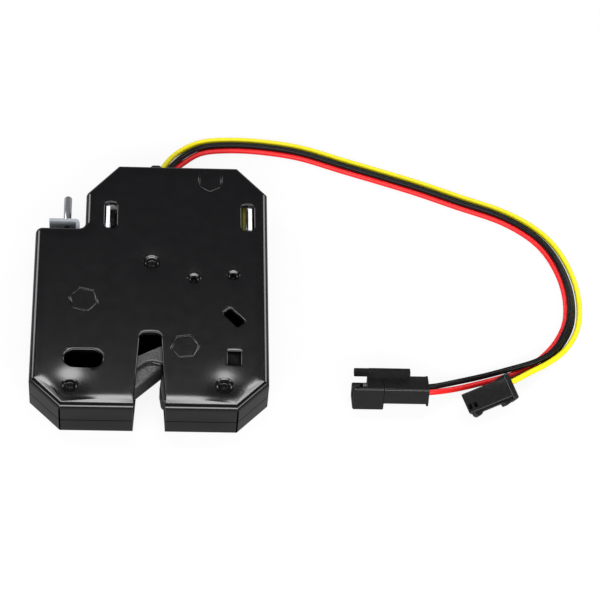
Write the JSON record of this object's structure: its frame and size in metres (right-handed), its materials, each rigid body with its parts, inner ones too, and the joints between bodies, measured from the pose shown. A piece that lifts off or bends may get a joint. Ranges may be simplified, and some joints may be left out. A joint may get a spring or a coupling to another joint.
{
  "type": "solenoid lock",
  "caption": "Flat solenoid cabinet lock with a sprung hook across an open strike slot, a push release, a position switch and leads ending in a connector pair.",
  "frame": {"origin": "middle of the case outline, on the back face that the lock lies on", "axes": "+X across the case towards the connectors, +Y away from the slot's mouth, +Z out of the cover"},
  "size_m": [0.1556, 0.1005, 0.013],
  "materials": {
    "black_paint": "gloss black paint on pressed steel",
    "sintered_steel": "dark sintered steel",
    "zinc_plate": "bright zinc plate",
    "spring_wire": "drawn spring wire",
    "black_nylon": "moulded black nylon",
    "white_nylon": "moulded natural nylon",
    "black_rubber": "moulded rubber",
    "copper": "enamelled copper wire",
    "tinned_brass": "tin plated contacts",
    "yellow_insulation": "satin vinyl insulation",
    "red_insulation": "satin vinyl insulation",
    "black_insulation": "satin vinyl insulation"
  },
  "bodies": {
    "case": {"front_cover": "black_paint", "back_shell": "black_paint", "latch_pivot_post": "zinc_plate", "left_post": "zinc_plate", "kicker_pivot_post": "zinc_plate", "switch_pin_left": "zinc_plate", "switch_pin_right": "zinc_plate", "rocker_stud": "zinc_plate", "spring_stud": "zinc_plate", "lead_stud": "zinc_plate", "slider_guide": "black_nylon", "strike_guide": "black_nylon", "latch_spring": "spring_wire", "kicker_spring": "spring_wire", "solenoid_frame": "zinc_plate", "bobbin": "black_nylon", "winding": "copper", "fixed_core": "zinc_plate", "switch_body": "black_nylon", "switch_terminal_1": "tinned_brass", "switch_terminal_2": "tinned_brass", "switch_terminal_3": "tinned_brass", "cable_grommet": "black_rubber", "lead_yellow_inner": "yellow_insulation", "lead_black_signal_inner": "black_insulation", "lead_red_inner": "red_insulation", "lead_black_power_inner": "black_insulation", "wire_yellow": "yellow_insulation", "wire_black_signal": "black_insulation", "wire_red": "red_insulation", "wire_black_power": "black_insulation", "socket_housing": "black_nylon", "socket_contact_1": "tinned_brass", "socket_contact_2": "tinned_brass", "plug_housing": "black_nylon", "plug_contact_1": "tinned_brass", "plug_contact_2": "tinned_brass"},
    "latch": {"latch_hook": "sintered_steel"},
    "kicker": {"kicker": "zinc_plate"},
    "rocker": {"release_rocker": "zinc_plate", "rocker_pin": "zinc_plate"},
    "release": {"release_slider": "zinc_plate", "release_pin": "zinc_plate"},
    "plunger": {"plunger": "zinc_plate", "plunger_link": "zinc_plate", "drive_pin": "zinc_plate"},
    "switch_lever": {"switch_lever": "zinc_plate"},
    "switch_button": {"switch_button": "white_nylon"}
  },
  "joints": [
    {"name": "latch_swing", "type": "hinge", "parent": "case", "child": "latch", "pos_m": [0, 0.0073, 0.00635], "axis": [0, 0, -1], "range_deg": [0, 14], "stiffness_Nm_per_rad": 0.05, "springref_deg": -17.19},
    {"name": "kicker_swing", "type": "hinge", "parent": "case", "child": "kicker", "pos_m": [0.0203, -0.0327, 0.01075], "axis": [0, 0, -1], "range_deg": [0, 24], "stiffness_Nm_per_rad": 0.02, "springref_deg": -17.19},
    {"name": "rocker_turn", "type": "hinge", "parent": "case", "child": "rocker", "pos_m": [-0.01865, -0.0057, 0.0069], "axis": [0, 0, 1], "range_deg": [0, 25.1]},
    {"name": "release_push", "type": "slide", "parent": "case", "child": "release", "axis": [0, -1, 0], "range_m": [0, 0.00301]},
    {"name": "plunger_pull", "type": "slide", "parent": "case", "child": "plunger", "axis": [1, 0, 0], "range_m": [0, 0.00208]},
    {"name": "switch_lever_turn", "type": "hinge", "parent": "case", "child": "switch_lever", "pos_m": [0.02411, 0.00962, 0.0065], "axis": [0, 0, 1], "range_deg": [0, 13.8]},
    {"name": "switch_button_press", "type": "slide", "parent": "case", "child": "switch_button", "axis": [0.1149, -0.9934, 0], "range_m": [0, 0.00091]}
  ],
  "couplings": [
    {"joint": "rocker_turn", "follows": "latch_swing", "ratio": 1.7857},
    {"joint": "release_push", "follows": "latch_swing", "m_per_rad": 0.012278},
    {"joint": "plunger_pull", "follows": "latch_swing", "m_per_rad": 0.008472},
    {"joint": "switch_lever_turn", "follows": "latch_swing", "ratio": 0.98},
    {"joint": "switch_button_press", "follows": "latch_swing", "m_per_rad": 0.003683}
  ]
}
